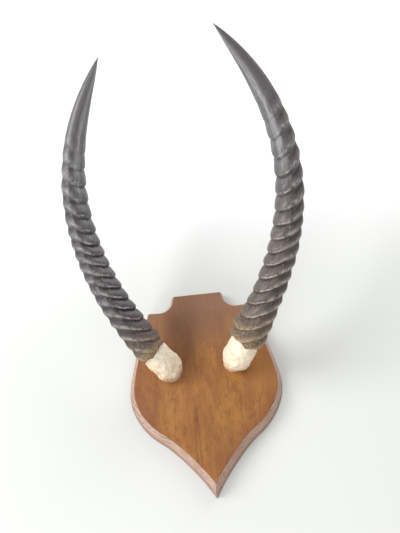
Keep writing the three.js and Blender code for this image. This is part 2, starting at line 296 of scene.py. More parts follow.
class StageSettings(bpy.types.PropertyGroup):
    """The camera, the lights and the table."""

    camera_place: place("Camera", "Where the camera stands", 4.48, -167.95, 588.41)
    camera_target: place("Target", "The point it looks at", 10.27, 208.81, 21)
    camera_roll: FloatProperty(name="Roll", description="Turn about its line of sight",
                               subtype="ANGLE", default=math.radians(-5.3))
    lens: FloatProperty(name="Lens", description="Focal length in millimetres, for a 24 mm "
                        "high picture", default=18.46)
    key_power: watts("Key light", "Watts of the large soft light", 44)
    back_power: watts("Back light", "Watts of the light behind", 22)
    front_power: watts("Front light", "Watts of the low front light", 9)
    sky: ratio("Room light", "Brightness of the white room", 0.6)
    table_near: colour("Table", "The near part of the table", (0.75, 0.765, 0.745))
    table_far: colour("Far table", "The far part of the table", (0.93, 0.93, 0.93))


class MountedHorns(bpy.types.PropertyGroup):
    """All that a user can change."""

    shield: PointerProperty(type=ShieldSizes)
    horn: PointerProperty(type=HornSizes)
    finish: PointerProperty(type=Finishes)
    stage: PointerProperty(type=StageSettings)


# -------------------- small sums

def smoothstep(value, low, high):
    t = min(max((value - low) / (high - low), 0), 1)
    return t * t * (3 - 2 * t)


def blend(a, b, share):
    return a + (b - a) * share


def bezier(points, t):
    a, b, c, d = points
    s = 1 - t
    return s ** 3 * a + 3 * s * s * t * b + 3 * s * t * t * c + t ** 3 * d


def toward(angle, side):
    """1 where an angle around the axis points to a side, given in degrees, 0 opposite."""
    return 0.5 + 0.5 * math.cos(angle - math.radians(side))


def around(angle, lobes, height, seed):
    """Noise that closes on itself around the axis: lobes is its fineness."""
    return noise.noise(Vector((math.cos(angle) * lobes, math.sin(angle) * lobes,
                               height + seed)))


# -------------------- shader sums

class Value:
    """A shader socket that stands for a number. A sum on it adds a Math node."""

    def __init__(self, finish, socket):
        self.finish = finish
        self.socket = socket

    def __add__(self, other):
        return self.finish.sum("ADD", self, other)

    def __sub__(self, other):
        return self.finish.sum("SUBTRACT", self, other)

    def __rsub__(self, other):
        return self.finish.sum("SUBTRACT", other, self)

    def __mul__(self, other):
        return self.finish.sum("MULTIPLY", self, other)

    __radd__ = __add__
    __rmul__ = __mul__

    def fraction(self):
        return self.finish.sum("FRACT", self)

    def sine(self):
        return self.finish.sum("SINE", self)

    def size(self):
        return self.finish.sum("ABSOLUTE", self)

    def least(self, other):
        return self.finish.sum("MINIMUM", self, other)

    def most(self, other):
        return self.finish.sum("MAXIMUM", self, other)

    def rises(self, low, high):
        """0 below low and 1 above high, smooth between. It falls where low is above high."""
        if low > high:
            return 1 - self.rises(high, low)
        settings = {"interpolation_type": "SMOOTHSTEP"}
        sockets = {"Value": self, "From Min": low, "From Max": high}
        return self.finish.node("ShaderNodeMapRange", settings, sockets)

    def peak(self, centre, width):
        """1 at centre, and 0 from a width away on either side."""
        return (self - centre).size().rises(width, 0)


class Finish:
    """A material being made: every node comes from node()."""

    def __init__(self, name):
        self.material = bpy.data.materials.new(name)
        self.material.use_nodes = True
        self.tree = self.material.node_tree
        self.shader = self.tree.nodes["Principled BSDF"]

    def node(self, kind, settings=None, sockets=None, output=0):
        """Adds a node, sets it up, fills or links its sockets and returns one output."""
        node = self.tree.nodes.new(kind)
        for key, setting in (settings or {}).items():
            setattr(node, key, setting)
        for key, value in (sockets or {}).items():
            self.feed(node.inputs[key], value)
        return Value(self, node.outputs[output])

    def feed(self, socket, value):
        if isinstance(value, Value):
            self.tree.links.new(value.socket, socket)
        elif socket.type == "RGBA":
            socket.default_value = (*value, 1)
        else:
            socket.default_value = value

    def sum(self, operation, *values):
        return self.node("ShaderNodeMath", {"operation": operation}, dict(enumerate(values)))

    def attribute(self, name, output):
        return self.node("ShaderNodeAttribute", {"attribute_name": name}, output=output)

    def place(self):
        return self.node("ShaderNodeTexCoord", output="Object")

    def parts(self, vector, step=1):
        """The three numbers of a vector, in steps of a size in millimetres."""
        steps = self.scaled(vector, (step, step, step))
        return [self.node("ShaderNodeSeparateXYZ", None, {0: steps}, output=i)
                for i in range(3)]

    def scaled(self, vector, size):
        """A vector measured in steps of a size in millimetres in each direction."""
        factors = tuple(1 / (s * MM) for s in size)
        return self.node("ShaderNodeVectorMath", {"operation": "MULTIPLY"},
                         {0: vector, 1: factors})

    def moved(self, vector, shift):
        """A vector moved by metres, so that a pattern on it differs from another's."""
        return self.node("ShaderNodeVectorMath", {"operation": "ADD"}, {0: vector, 1: shift})

    def noise(self, vector, size, detail=2.0, roughness=0.5, distortion=0.0):
        """Noise from 0 to 1 with lumps of a size in millimetres in each direction."""
        sockets = {"Vector": self.scaled(vector, size), "Scale": 1.0, "Detail": detail,
                   "Roughness": roughness, "Distortion": distortion}
        return self.node("ShaderNodeTexNoise", None, sockets)

    def cells(self, vector, size):
        """Distance from scattered points that lie a size in millimetres apart."""
        sockets = {"Vector": self.scaled(vector, size), "Scale": 1.0}
        return self.node("ShaderNodeTexVoronoi", None, sockets)

    def mix(self, share, a, b):
        settings = {"data_type": "RGBA"}
        return self.node("ShaderNodeMix", settings, {0: share, 6: a, 7: b}, output=2)

    def layers(self, base, *layers):
        """A colour with others over it, each mixed in by its share."""
        for share, colour in layers:
            base = self.mix(share, base, colour)
        return base

    def tinted(self, share, colour, tint):
        """A colour multiplied by a tint, by a share."""
        settings = {"data_type": "RGBA", "blend_type": "MULTIPLY"}
        return self.node("ShaderNodeMix", settings, {0: share, 6: colour, 7: tint}, output=2)

    def bump(self, height_mm):
        """Feeds the shader's Normal from a height in millimetres."""
        sockets = {"Height": height_mm, "Distance": MM, "Strength": 1.0}
        self.feed(self.shader.inputs["Normal"], self.node("ShaderNodeBump", None, sockets))

    def done(self, base, roughness):
        self.feed(self.shader.inputs["Base Color"], base)
        self.feed(self.shader.inputs["Roughness"], roughness)
        return self.material


# -------------------- finishes

def plaque_wood(colours, shield):
    """Brown stained hardwood, with its grain along Y and a paler, bare sloping edge."""
    wood = Finish("plaque_wood")
    wood.shader.inputs["Specular IOR Level"].default_value = 0.35
    place = wood.place()
    x, y, z = wood.parts(place)

    wander = wood.noise(place, (60, 150, 60))
    patches = wood.noise(place, (22, 80, 30), detail=3, distortion=0.6)
    mottle = wood.noise(place, (9, 16, 20), detail=4, distortion=1.2)
    streaks = wood.noise(place, (3.2, 60, 8), detail=3, roughness=0.6)
    fine = wood.noise(place, (0.7, 16, 2))
    dashes = wood.noise(place, (1.4, 7.5, 3))
    pores = wood.noise(place, (0.55, 5.5, 1.5), detail=1)
    pore = pores.rises(0.63, 0.73)
    dash = dashes.rises(0.58, 0.7)

    # The stained front: golden and red patches, pores and dashes, painted glare on its top, a
    # painted shadow of the left horn between the cores, and a painted patch of light beside the
    # right core.
    # A dark patch between the cores, fading out above and below, is painted shadow of the left
    # horn.
    painted_horn_shadow = (x + wander * 20).peak(-18, 42) * y.rises(20, 65) * y.rises(160, 105)
    # A golden patch at the right of the front, beside the right core, is painted light that
    # lifts the shade there.
    painted_light_patch = x.rises(52, 78) * y.peak(30, 60)
    heart_streak = (x + wander * 12).peak(-12, 6) * streaks.rises(0.35, 0.6)
    face = wood.layers(
        colours.wood_face,
        (patches.rises(0.42, 0.6), colours.wood_gold_and_light),
        (wander.rises(0.5, 0.66) * 0.7, colours.wood_red),
        (x.rises(-35, -85) * 0.5, colours.wood_red),
        (mottle.rises(0.5, 0.66) * 0.5, colours.wood_red),
        (streaks.rises(0.54, 0.7) * 0.5, colours.wood_red),
        (fine.rises(0.45, 0.75) * 0.3, colours.wood_pore_and_shadow),
        ((dash * 0.38 + pore * 0.5).least(0.7), colours.wood_pore_and_shadow),
        # Painted glare: the front turns paler and greyer towards its top.
        (y.rises(20, 150) * 0.55, colours.wood_top_glare),
        # Painted shadow of the left horn.
        (painted_horn_shadow * 0.5, colours.wood_pore_and_shadow),
        # Painted light beside the right core.
        (painted_light_patch * 0.6, colours.wood_gold_and_light),
        (heart_streak * y.rises(0, -35) * 0.5, colours.wood_pore_and_shadow))

    # The edge with its growth lines: shells around the heart of the tree, which lies far
    # behind the plaque.
    bend = wander * 26 + patches * 9 + mottle * 3
    depth = z + bend + x * x * 0.0012 + y * 0.04
    late_wood = (depth * 1.45).sine().rises(-0.2, 0.95)
    bevel_foot = (shield.thickness - shield.bevel_drop) / MM
    edge = wood.layers(
        colours.wood_edge,
        (late_wood * mottle.rises(0.3, 0.65) * 0.75, colours.wood_growth),
        (fine.rises(0.42, 0.8) * 0.35, colours.wood_growth),
        (patches.rises(0.45, 0.7) * 0.3, colours.wood_face),
        (z.rises(bevel_foot + 0.6, bevel_foot - 0.4) * 0.5, colours.wood_growth))

    top = shield.thickness / MM
    front = z.rises(top - 0.7, top - 0.3)
    arris = z.peak(top - 0.6, 0.6)
    base = wood.layers(edge, (front, face), (arris * 0.65, colours.wood_pore_and_shadow))

    rough = 0.42 + fine * 0.14 + pore * 0.2 + (1 - front) * 0.16
    wood.bump(fine * 0.07 - pore * 0.1 - dash * 0.06 + streaks * 0.12
              - (1 - front) * late_wood * 0.12)
    return wood.done(base, rough)


def weathered_bone(name, colours, stained):
    """Dry, pitted, ivory-coloured bone with flat rubbed places, stained around its foot and
    on its outer side. Outward is 1 there, and -1 opposite."""
    bone = Finish(name)
    place = bone.place()
    grown = bone.attribute("grown", "Vector")
    outward = bone.parts(grown, 1 / MM)[0]
    along = bone.parts(grown)[2]

    lumps = bone.noise(place, (9, 9, 9), detail=3)
    stain = bone.noise(place, (6, 6, 4), detail=4, roughness=0.65)
    grit = bone.noise(place, (0.8, 0.8, 0.8), detail=3)
    facets = bone.cells(place, (9, 9, 11))
    pits = bone.cells(bone.moved(place, (0.31, 0.17, 0.2)), (3.4, 3.4, 3.4))
    spots = bone.cells(bone.moved(place, (0.2, 0.4, 0.1)), (3.2, 3.2, 3))

    pit = pits.rises(0.34, 0.18) * lumps.rises(0.5, 0.6)
    foot = (along + stain * 16).rises(21, 12)
    glue_line = along.rises(3, 1.5)
    side = outward.rises(-0.5, 0.7) * stained
    rusty = spots.rises(0.62, 0.46) * stain.rises(0.36, 0.46) * along.rises(30, 8)
    base = bone.layers(
        colours.bone,
        (lumps.rises(0.35, 0.7) * 0.16, colours.bone_stain),
        (side * stain.rises(0.38, 0.58) * 0.65, colours.bone_stain),
        (foot * 0.6, colours.bone_stain),
        (rusty * side, colours.bone_rust),
        (glue_line * stained * 0.4, colours.bone_pit),
        (pit * 0.5, colours.bone_pit),
        (grit.rises(0.55, 0.8) * 0.16, colours.bone_stain))

    rough = 0.66 + grit * 0.2
    bone.bump(lumps * 0.7 + stain * 0.7 + grit * 0.2 - pit * 0.7 + facets * 2.4)
    return bone.done(base, rough)


def ringed_keratin(name, colours, look):
    """Dark horn: each ring is dull above, swells, and ends in a lip over a groove. The lip
    carries a painted highlight in front. On the outer side the crests are pale bands, tan
    towards the root and painted highlight above it, between grooves darkened by painted shade."""
    horn = Finish(name)
    horn.shader.inputs["Coat Roughness"].default_value = 0.3
    roughness = look["roughness"]
    grown = horn.attribute("grown", "Vector")
    ring = horn.attribute("ring", "Fac")
    relief = horn.attribute("relief", "Fac")
    outward, forward, along = horn.parts(grown)

    striae = horn.noise(grown, (1.1, 1.1, 24), detail=3, roughness=0.6)
    coarse = horn.noise(grown, (2.6, 2.6, 30), detail=3, roughness=0.65)
    mottle = horn.noise(grown, (9, 9, 12), detail=4, roughness=0.6)
    scratches = horn.noise(grown, (1.5, 1.5, 9), roughness=0.6)
    dirt = horn.noise(grown, (2.2, 2.2, 1.8), detail=4, roughness=0.7)
    rubbing_and_glint = horn.noise(grown, (5, 5, 7), roughness=0.6)
    ticks = horn.noise(grown, (1.4, 1.4, 6), detail=1)

    # Places along the horn, around it, and on a ring by its phase, which dirt makes ragged.
    low = along.rises(270, 90)
    root = (along + mottle * 30).rises(124, 70) * roughness
    ragged = (along + dirt * 24).rises(80, 64) * dirt.rises(0.38, 0.56)
    middle = along.rises(340, 200)
    tip = along.rises(250, 350)
    # A pale streak along the inner front of the tip is a painted highlight.
    tip_highlight_band = (outward + coarse * 3).peak(-11, 8) * forward.rises(0, 10)
    outer_side = outward.rises(-12, 4)
    inner = (1 - outer_side) * relief
    outer = outer_side * (relief * 3).least(1)
    far_side = outward.rises(10, 21)
    front = forward.rises(4, 17) * outward.rises(12, 3)
    # Where the lips carry painted highlights: on the inner front.
    highlight_front = forward.rises(2, 12) * outward.peak(-10, 13)
    phase = (ring + (dirt - 0.5) * (0.06 + low * 0.16)).fraction()
    upper = phase.rises(0.28, 0.5) * phase.rises(0.7, 0.64)
    crest = phase.peak(0, 0.26).most(phase.peak(1, 0.26))
    lip = phase.peak(0.89, 0.09)
    groove = phase.peak(0.71, 0.1)
    broad_groove = phase.peak(0.5, 0.27)

    # The body: dull above each ring, brown on the outer side and at the root.
    body = horn.layers(
        colours.horn_body,
        (mottle.rises(0.45, 0.7) * 0.5, colours.horn_brown),
        (tip * (0.22 + coarse * 0.22), colours.horn_worn),
        (upper * inner * coarse * look["worn"], colours.horn_worn),
        (far_side * mottle.rises(0.3, 0.6) * (0.9 * roughness ** 2), colours.horn_brown),
        (root * mottle.rises(0.3, 0.6) * 0.5, colours.horn_brown),
        (striae.rises(0.54, 0.8) * 0.32, colours.horn_worn))
    body = horn.tinted(along.rises(290, 30), body, look["root_tint"])

    # Over it: crests of the outer side, tan towards the root and painted highlight above, and
    # its grooves darkened by painted shade; the flaking root, cracks, ticks and scratches; the
    # rubbed tan lips; painted shade in the inner grooves; a painted highlight streak on the
    # tip, and painted highlights on the lips in front.
    # The outer crests are pale: tan towards the root, and a painted highlight above it.
    crest_tan_and_highlight = horn.mix(low * roughness, colours.horn_highlight, colours.horn_crest)
    pale_crest_and_highlight = crest * outer * rubbing_and_glint.rises(0.3, 0.6) * (0.45 + low * 0.3)
    deep = 0.65 + along.rises(190, 260) * 0.3
    root_patch = crest * 0.8 * rubbing_and_glint.rises(0.3, 0.5) + dirt.rises(0.48, 0.6) * 0.7
    lip_line = lip * front * low * roughness * mottle.rises(0.3, 0.5)
    # Short pale dashes on the lips in front are painted highlights.
    lip_highlight = lip * highlight_front * rubbing_and_glint.rises(0.42, 0.56) * 0.62
    base = horn.layers(
        body,
        (middle * look["browned"] * mottle.rises(0.25, 0.55), colours.horn_brown),
        # Painted shade darkens the broad grooves of the outer side.
        (broad_groove * outer * deep, colours.horn_dark_and_groove_shade),
        (pale_crest_and_highlight * look["worn"], crest_tan_and_highlight),
        (root * (root_patch + 0.1), colours.horn_root),
        (tip * outer_side * mottle.rises(0.35, 0.6) * (0.45 * roughness), colours.horn_brown),
        (striae.rises(0.48, 0.25) * 0.36, colours.horn_dark_and_groove_shade),
        (ticks.rises(0.58, 0.66) * (0.2 + low * 0.35), colours.horn_dark_and_groove_shade),
        (scratches.rises(0.6, 0.7) * upper * front * relief * 0.6, colours.horn_crest),
        (lip_line * rubbing_and_glint.rises(0.3, 0.5) * relief, colours.horn_crest),
        # Painted shade darkens the grooves on the inner side.
        (groove * inner * 0.4, colours.horn_dark_and_groove_shade),
        # Painted highlight streak on the tip.
        (tip * tip_highlight_band * striae.rises(0.35, 0.6) * 0.6, colours.horn_highlight),
        # Painted highlights on the lips.
        (lip_highlight * relief, colours.horn_highlight),
        (ragged * 0.85, colours.horn_root))

    dull = root * 0.25 + far_side * 0.15 + upper * relief * 0.1
    horn.feed(horn.shader.inputs["Coat Weight"], (0.2 + tip * 0.2 - dull).most(0))
    fine_relief = striae * 0.13 + coarse * 0.32 + scratches * 0.14 - ticks * low * 0.3
    horn.bump(fine_relief + (root + far_side * 0.5 + 0.1 + low * 0.25) * dirt * 1.3)
    return horn.done(base, 0.34 + coarse * 0.16 + dull)


def pale_table(near, far):
    """A matt, nearly white table that is paler towards its far side."""
    table = Finish("pale_table")
    place = table.place()
    _, away, _ = table.parts(place)
    cloudy = table.noise(place, (500, 500, 500))
    shade = table.mix((away + (cloudy - 0.5) * 120).rises(120, 500), near, far)
    return table.done(shade, 0.8 + cloudy * 0.1)


# -------------------- making pieces

def finished_piece(name, bm, material, node):
    """Turns a bmesh into a smooth-shaded piece that stands for a solid of the frame."""
    mesh = bpy.data.meshes.new(name)
    bmesh.ops.recalc_face_normals(bm, faces=bm.faces)
    bm.to_mesh(mesh)
    bm.free()
    mesh.materials.append(material)
    mesh.shade_smooth()
    piece = bpy.data.objects.new(name, mesh)
    bpy.context.scene.collection.objects.link(piece)
    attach(piece, "root")
    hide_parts(node)
    return piece


def wrapped_grid(rows, sides, wrap):
    """A flat grid wrapped into a closed body. Its first and last rows are single points.

    wrap(row, angle) gives a point and its attributes: a grown place, ring and relief.
    """
    bm = bmesh.new()
    grown = bm.verts.layers.float_vector.new("grown")
    ring = bm.verts.layers.float.new("ring")
    relief = bm.verts.layers.float.new("relief")
    bmesh.ops.create_grid(bm, x_segments=sides, y_segments=rows - 1, size=0.5)
    for vert in bm.verts:
        row = round((vert.co.y + 0.5) * (rows - 1))
        side = round((vert.co.x + 0.5) * sides) % sides
        vert.co, vert[grown], vert[ring], vert[relief] = wrap(row, side / sides * TURN)
    bmesh.ops.remove_doubles(bm, verts=bm.verts, dist=1e-7)
    return bm


# -------------------- the plaque

def from_mm(place):
    """A vector from numbers in millimetres."""
    return Vector([number * MM for number in place])


def shield_outline(size):
    """The front face's outline, anticlockwise from its bottom point."""
    belly_end = from_mm(BELLY_END)
    bottom = Vector((0, size.point))
    widest = Vector((size.half_width, size.widest))
    ear = Vector((size.ear_x, size.ear_y))
    below_widest = Vector((size.half_width, BELOW_WIDEST * MM))
    above_widest = Vector((size.half_width, ABOVE_WIDEST * MM))
    curves = [
        (bottom, *map(from_mm, POINT_HANDLES), belly_end),
        (belly_end, from_mm(BELLY_HANDLE), below_widest, widest),
        (widest, above_widest, from_mm(EAR_HANDLE), ear),
    ]
    right = [bottom]
    for curve in curves:
        right += [bezier(curve, i / OUTLINE_STEPS) for i in range(1, OUTLINE_STEPS + 1)]
    notch_x = size.tab_half + size.notch_width
    for i in range(OUTLINE_STEPS + 1):
        turn = -math.pi / 2 * (1 + i / OUTLINE_STEPS)
        right.append(Vector((notch_x + size.notch_width * math.cos(turn),
                             size.top + size.notch_depth * math.sin(turn))))
    left = [Vector((-p.x, p.y)) for p in reversed(right[1:])]
    return right + left


def outline_corners(outline):
    """Numbers of the outline's points where it turns sharply."""
    corners = []
    for i, point in enumerate(outline):
        before = point - outline[i - 1]
        after = outline[(i + 1) % len(outline)] - point
        if before.angle(after) > CORNER_ANGLE:
            corners.append(i)
    return corners


def offset(outline, size, distance):
    """The outline moved outwards by a distance, with its corners kept sharp."""
    moved = []
    for i, point in enumerate(outline):
        before = (point - outline[i - 1]).normalized()
        after = (outline[(i + 1) % len(outline)] - point).normalized()
        normals = [Vector((along.y, -along.x)) for along in (before, after)]
        near_notch = smoothstep(point.y, size.ear_y - NOTCH_EDGE_OVER, size.ear_y)
        steep = blend(1, NOTCH_EDGE, near_notch)
        share = distance * steep / (1 + normals[0].dot(normals[1]))
        moved.append(point + (normals[0] + normals[1]) * share)
    return moved


def shield_block(size):
    """The back outline, extruded to the foot of the bevel and on to the front face."""
    outline = shield_outline(size)
    levels = [
        (0, size.edge_out),
        (size.thickness - size.bevel_drop, size.bevel_out),
        (size.thickness, 0),
    ]
    corners = outline_corners(outline)
    bm = bmesh.new()
    circle = bmesh.ops.create_circle(bm, cap_ends=True, segments=len(outline), radius=1)
    verts = circle["verts"]
    faces = list(bm.faces)
    corner_edges = []
    for level, (height, out) in enumerate(levels):
        if level:
            raised = bmesh.ops.extrude_face_region(bm, geom=faces)["geom"]
            new_verts = [v for v in raised if isinstance(v, bmesh.types.BMVert)]
            partner = {}
            for vert in new_verts:
                for edge in vert.link_edges:
                    other = edge.other_vert(vert)
                    if other in verts:
                        partner[other] = vert
            below = verts
            verts = [partner[v] for v in below]
            corner_edges += [bm.edges.get((below[i], verts[i])) for i in corners]
            faces = [f for f in raised if isinstance(f, bmesh.types.BMFace)]
        for vert, point in zip(verts, offset(outline, size, out)):
            vert.co = (point.x, point.y, height)
    rim = [bm.edges.get((verts[i - 1], verts[i])) for i in range(len(verts))]
    bmesh.ops.bevel(bm, geom=rim + corner_edges, offset=size.arris, segments=3, profile=0.5,
                    affect="EDGES", material=-1, clamp_overlap=True)
    return bm


class MOUNTEDHORNS_OT_add_shield(bpy.types.Operator):
    """Add the shield-shaped wooden plaque"""

    bl_idname = "mounted_horns.add_shield"
    bl_label = "Add Shield Plaque"

    def execute(self, context):
        settings = context.scene.mounted_horns
        wood = plaque_wood(settings.finish, settings.shield)
        plaque = finished_piece("shield_plaque", shield_block(settings.shield), wood,
                                "plaque")
        plaque.data.set_sharp_from_angle(angle=SHARP_ANGLE)
        return {"FINISHED"}


# -------------------- the horns' axes

class Axis:
    """The curved axis of one horn, tabulated from the plaque to the tip."""

    def __init__(self, size, horn, board):
        self.ovalness = size.ovalness
        self.step = size.length / AXIS_STEPS
        turned = Euler([math.radians(a) for a in horn["lean"]], "ZYX").to_matrix()
        mirror = Matrix.Diagonal((horn["mirror"], 1, 1))
        foot_x, foot_y = horn["foot"]
        self.foot = Vector((horn["mirror"] * foot_x * MM, foot_y * MM, board))
        place = Vector()
        self.stations = []
        for i in range(AXIS_STEPS + 1):
            along = turned @ self.direction(i / AXIS_STEPS, horn["splay"])
            outer = Vector((1, 0, 0))
            outer = (outer - along * outer.dot(along)).normalized()
            front = outer.cross(along)
            self.stations.append((self.foot + mirror @ place, mirror @ outer, mirror @ front,
                                  mirror @ along))
            midway = self.direction((i + 0.5) / AXIS_STEPS, horn["splay"])
            place = place + turned @ midway * self.step

    @staticmethod
    def direction(t, splay_handles):
        """Which way the axis runs at a share of its length, before it leans."""
        rise = math.radians(bezier(RISE, t))
        splay = math.radians(bezier(splay_handles, t))
        level = math.cos(rise)
        return Vector((level * math.sin(splay), level * math.cos(splay), math.sin(rise)))

    def point(self, s, angle, radius):
        """A point at an angle around the axis: 0 is the front, a quarter the outer side."""
        station = min(max(s / self.step, 0), AXIS_STEPS - 1e-6)
        i = int(station)
        place, outer, front, _ = [
            a.lerp(b, station - i) for a, b in zip(self.stations[i], self.stations[i + 1])]
        return (place + front * (math.cos(angle) * radius * self.ovalness)
                + outer * (math.sin(angle) * radius))

    def along(self, s):
        """Which way the axis runs at a place along it."""
        return self.stations[min(max(round(s / self.step), 0), AXIS_STEPS)][3]


# -------------------- the sheaths

class Sheath:
    """The horn sheath's form: where each point of it lies, by ring number and angle."""

    PHASES = (0, 0.06, 0.12, 0.18, 0.24, 0.3, 0.36, 0.42, 0.47, 0.52, 0.56, 0.6, 0.63, 0.66,
              0.68, 0.7, 0.72, 0.74, 0.77, 0.8, 0.84, 0.88, 0.92, 0.96)
    TIP_ROWS = 70

    def __init__(self, size, horn, board):
        self.size = size
        self.horn = horn
        self.seed = horn["sheath_seed"]
        self.start = horn["sheath_start"] * MM
        self.first_ring = horn["first_ring"] * MM
        self.pitch = horn["ring_pitch"] * MM
        self.edge_ring = (self.start - self.first_ring) / self.pitch
        self.axis = Axis(size, horn, board)
        self.rows = self.make_rows()

    def make_rows(self):
        """Each row has a kind and a number: a depth in the bore, from 1 to 0 at its mouth, a
        ring number, or a share of the smooth tip."""
        rows = [("bore_end", 1), ("bore", 1), ("bore", 0.5), ("bore", 0)]
        rings = [ring + phase for ring in range(-1, self.size.ring_count)
                 for phase in self.PHASES]
        rows += [("ring", ring) for ring in rings if ring > self.edge_ring]
        for i in range(self.TIP_ROWS):
            rows.append(("tip", math.sqrt(i / (self.TIP_ROWS - 1))))
        rows.append(("tip_end", 1))
        return rows

    def ring_place(self, ring):
        """How far along the axis a ring lies."""
        widened = max(0, ring - self.horn["widens_from"])
        steps = widened ** 2 - max(0, widened - WIDENS_OVER) ** 2
        return self.first_ring + self.pitch * ring + self.size.ring_stretch * steps

    def ring_at(self, place, angle):
        """The ring number at a place near the root, by the rings' tilt."""
        base = place
        for _ in range(3):
            base = place - self.tilt(base, angle)
        return (base - self.first_ring) / self.pitch

    def radius(self, s, angle):
        """Over the rings, at a place along the axis."""
        size = self.size
        t = min(s / size.length, 1)
        taper = (1 - size.straight_taper * t) * (1 - t ** size.tip_power) ** size.tip_bluntness
        flare = self.horn["flare"] * (1 - smoothstep(s, *FLARE_ENDS))
        return size.diameter / 2 * taper * (1 + flare * (1 - INNER_FLARE * math.sin(angle)))

    def tilt(self, s, angle):
        """How far a ring is lifted along the axis at an angle around it."""
        low = blend(*RINGS_LOW, smoothstep(s, *RINGS_TURN))
        fade = 1 - smoothstep(s, *TILT_FADES)
        return self.size.ring_rise * fade * (1 - toward(angle, low))

    def relief(self, ring, angle):
        """How strong the rings are, from 0 to 1."""
        side = blend(FAR_SIDE_RELIEF, 1, toward(angle, RELIEF_SIDE))
        grown = blend(ROOT_RELIEF, 1, smoothstep(ring, *RELIEF_GROWS))
        fade = 1 - smoothstep(ring, *self.horn["rings_fade"])
        change = around(angle, UNEVEN_LOBES, ring * UNEVEN_CHANGE, self.seed)
        uneven = 1 + UNEVEN_SHARE * change
        return side * grown * fade * uneven

    @staticmethod
    def shape(phase, angle):
        """How high the surface stands between a groove, 0, and a crest, 1. The rings are
        round towards the other horn, and waves with broad grooves on the outer side."""
        if phase < GROOVE_PHASE:
            bulge = 1 - (phase / GROOVE_PHASE) ** RING_BULGE
        else:
            bulge = 1 - ((1 - phase) / (1 - GROOVE_PHASE)) ** RING_LIP
        if phase < OUTER_GROOVE_PHASE:
            turn = phase / OUTER_GROOVE_PHASE
        else:
            turn = (1 - phase) / (1 - OUTER_GROOVE_PHASE)
        wave = 0.5 + 0.5 * math.cos(math.pi * turn)
        return blend(bulge, wave, smoothstep(math.sin(angle), *OUTER_TAKES_OVER))

    def edge_shift(self, angle):
        """How far the edge lies above its start: it is tilted, wavy and chipped."""
        wave = sum(depth * math.sin(number * angle + start)
                   for depth, number, start in EDGE_WAVES)
        chips = sum(depth * around(angle, lobes, 0, self.seed + seed)
                    for depth, lobes, seed in EDGE_CHIPS)
        tilt = -self.size.edge_tilt * math.sin(angle)
        return tilt + self.size.edge_wave * (wave + chips)

    def bore(self, depth, angle, is_end):
        """A point of the socket for the core, and its place along the axis."""
        size = self.size
        s = blend(self.start + MOUTH_DEPTH, size.socket_end, depth)
        radius = size.plug_radius + size.socket_gap if depth else size.mouth_radius
        shift = 0 if depth else self.edge_shift(angle)
        return self.axis.point(s + shift, angle, 0 if is_end else radius), s

    def waver(self, ring, angle):
        """How far a ring's lip is moved along the axis."""
        waver = sum(height * around(angle, lobes, ring * change, self.seed + seed)
                    for height, lobes, change, seed in LIP_WAVERS)
        return waver * MM

    def lumps(self, place, radius, angle):
        """How far the surface stands out in lumps."""
        lumps = sum(height * around(angle, lobes, place / step, self.seed + seed)
                    for height, lobes, step, seed in LUMPS)
        calm = 1 - LUMPS_LOST * smoothstep(place, *LUMPS_CALM)
        return lumps * MM * calm * min(1, radius / LUMPS_FULL_RADIUS)

    def wrap(self, row, angle):
        kind, number = self.rows[row]
        size = self.size
        unbent = Vector((math.sin(angle), math.cos(angle), 0)) * size.diameter / 2
        if kind in ("bore", "bore_end"):
            point, s = self.bore(number, angle, kind == "bore_end")
            return point, unbent + Vector((0, 0, s)), self.edge_ring, 0
        if kind == "tip_end":
            point = self.axis.point(size.length - TIP_POINT, 0, 0)
            return point, Vector((0, 0, size.length)), size.ring_count, 0

        ring = number if kind == "ring" else size.ring_count
        s = self.ring_place(ring)
        if kind == "tip":
            s = blend(s, size.length - TIP_LAST_ROW, number)
        from_edge = ring - self.edge_ring
        place = s + self.tilt(s, angle) * smoothstep(ring, self.edge_ring, ROWS_FOLLOW)
        place += self.edge_shift(angle) * (1 - smoothstep(from_edge, 0, EDGE_REACH))
        if ring < ROWS_FOLLOW:
            ring = self.ring_at(place, angle)
        place += self.waver(ring, angle) * (1 - smoothstep(s, *WAVERS_FADE))
        place = min(place, size.length - TIP_LIMIT)

        relief = self.relief(ring, angle)
        depth = size.ring_depth * (1 - self.shape(ring - math.floor(ring), angle))
        radius = self.radius(place, angle) - depth * relief
        radius += self.lumps(place, radius, angle)
        thin = 1 - smoothstep(from_edge, 0, EDGE_THINS)
        radius = max(radius - size.edge_inset * thin ** EDGE_ROUNDNESS, LEAST_RADIUS)
        grown = unbent + Vector((0, 0, place))
        return self.axis.point(place, angle, radius), grown, ring, relief


class MOUNTEDHORNS_OT_add_horns(bpy.types.Operator):
    """Add the two ringed horn sheaths"""

    bl_idname = "mounted_horns.add_horns"
    bl_label = "Add Horn Sheaths"
    SIDES = 168

    def execute(self, context):
        settings = context.scene.mounted_horns
        for side, horn in HORNS.items():
            keratin = ringed_keratin(f"{side}_keratin", settings.finish, horn)
            sheath = Sheath(settings.horn, horn, settings.shield.thickness)
            bm = wrapped_grid(len(sheath.rows), self.SIDES, sheath.wrap)
            finished_piece(f"{side}_ringed_horn", bm, keratin, f"{side}_horn")
        return {"FINISHED"}


# -------------------- the bony cores

